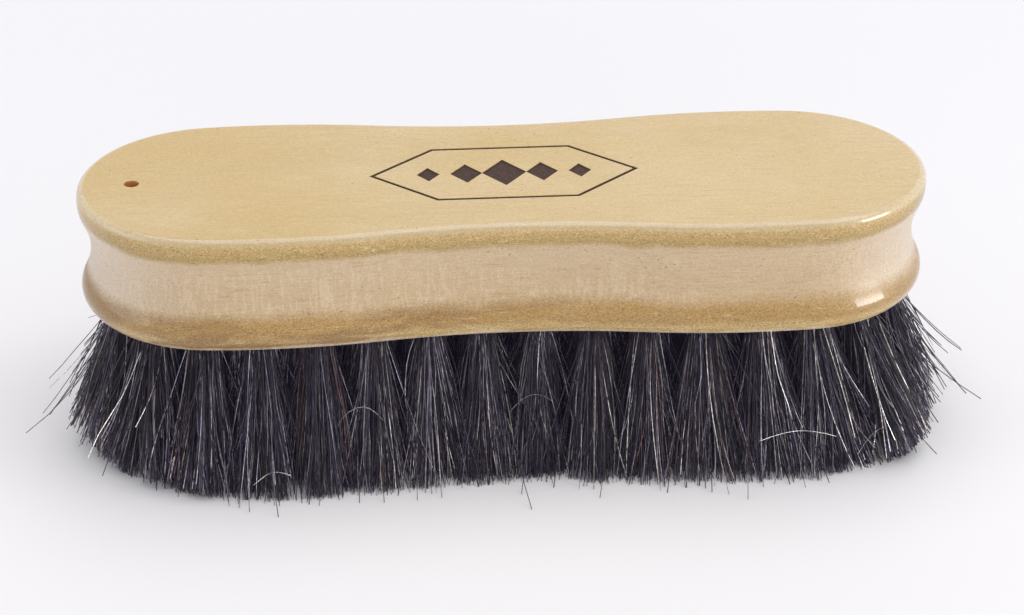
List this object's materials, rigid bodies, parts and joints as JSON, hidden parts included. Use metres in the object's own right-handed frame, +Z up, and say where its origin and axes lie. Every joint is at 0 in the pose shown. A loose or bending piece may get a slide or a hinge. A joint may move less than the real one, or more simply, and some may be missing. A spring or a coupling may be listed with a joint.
{
  "type": "shoe shine brush",
  "caption": "Waisted wooden hand brush with a moulded edge and tufts of dark horsehair set in its flat underside, for polishing shoes.",
  "frame": {"origin": "on the surface that the bristle ends stand on, under the middle of the wooden back", "axes": "+X runs along the brush away from the peg hole, +Y across it, +Z up out of the back's flat top face"},
  "size_m": [0.1786, 0.0634, 0.055],
  "materials": {
    "lacquered_wood": "clear gloss lacquer over pale close-grained wood",
    "horsehair": "black horsehair with a few grey and brown hairs",
    "staple_wire": "plain drawn wire"
  },
  "bodies": {
    "root": {"wooden_back": "lacquered_wood", "tuft_staples": "staple_wire", "outer_tuft_01": "horsehair", "outer_tuft_02": "horsehair", "outer_tuft_03": "horsehair", "outer_tuft_04": "horsehair", "outer_tuft_05": "horsehair", "outer_tuft_06": "horsehair", "outer_tuft_07": "horsehair", "outer_tuft_08": "horsehair", "outer_tuft_09": "horsehair", "outer_tuft_10": "horsehair", "outer_tuft_11": "horsehair", "outer_tuft_12": "horsehair", "outer_tuft_13": "horsehair", "outer_tuft_14": "horsehair", "outer_tuft_15": "horsehair", "outer_tuft_16": "horsehair", "outer_tuft_17": "horsehair", "outer_tuft_18": "horsehair", "outer_tuft_19": "horsehair", "outer_tuft_20": "horsehair", "outer_tuft_21": "horsehair", "outer_tuft_22": "horsehair", "outer_tuft_23": "horsehair", "outer_tuft_24": "horsehair", "outer_tuft_25": "horsehair", "outer_tuft_26": "horsehair", "outer_tuft_27": "horsehair", "outer_tuft_28": "horsehair", "outer_tuft_29": "horsehair", "outer_tuft_30": "horsehair", "outer_tuft_31": "horsehair", "outer_tuft_32": "horsehair", "inner_tuft_01": "horsehair", "inner_tuft_02": "horsehair", "inner_tuft_03": "horsehair", "inner_tuft_04": "horsehair", "inner_tuft_05": "horsehair", "inner_tuft_06": "horsehair", "inner_tuft_07": "horsehair", "inner_tuft_08": "horsehair", "inner_tuft_09": "horsehair", "inner_tuft_10": "horsehair", "inner_tuft_11": "horsehair", "inner_tuft_12": "horsehair", "inner_tuft_13": "horsehair", "inner_tuft_14": "horsehair", "inner_tuft_15": "horsehair", "inner_tuft_16": "horsehair", "inner_tuft_17": "horsehair", "inner_tuft_18": "horsehair", "inner_tuft_19": "horsehair", "inner_tuft_20": "horsehair", "inner_tuft_21": "horsehair", "inner_tuft_22": "horsehair", "inner_tuft_23": "horsehair", "inner_tuft_24": "horsehair", "centre_tuft_01": "horsehair", "centre_tuft_02": "horsehair"}
  },
  "joints": []
}
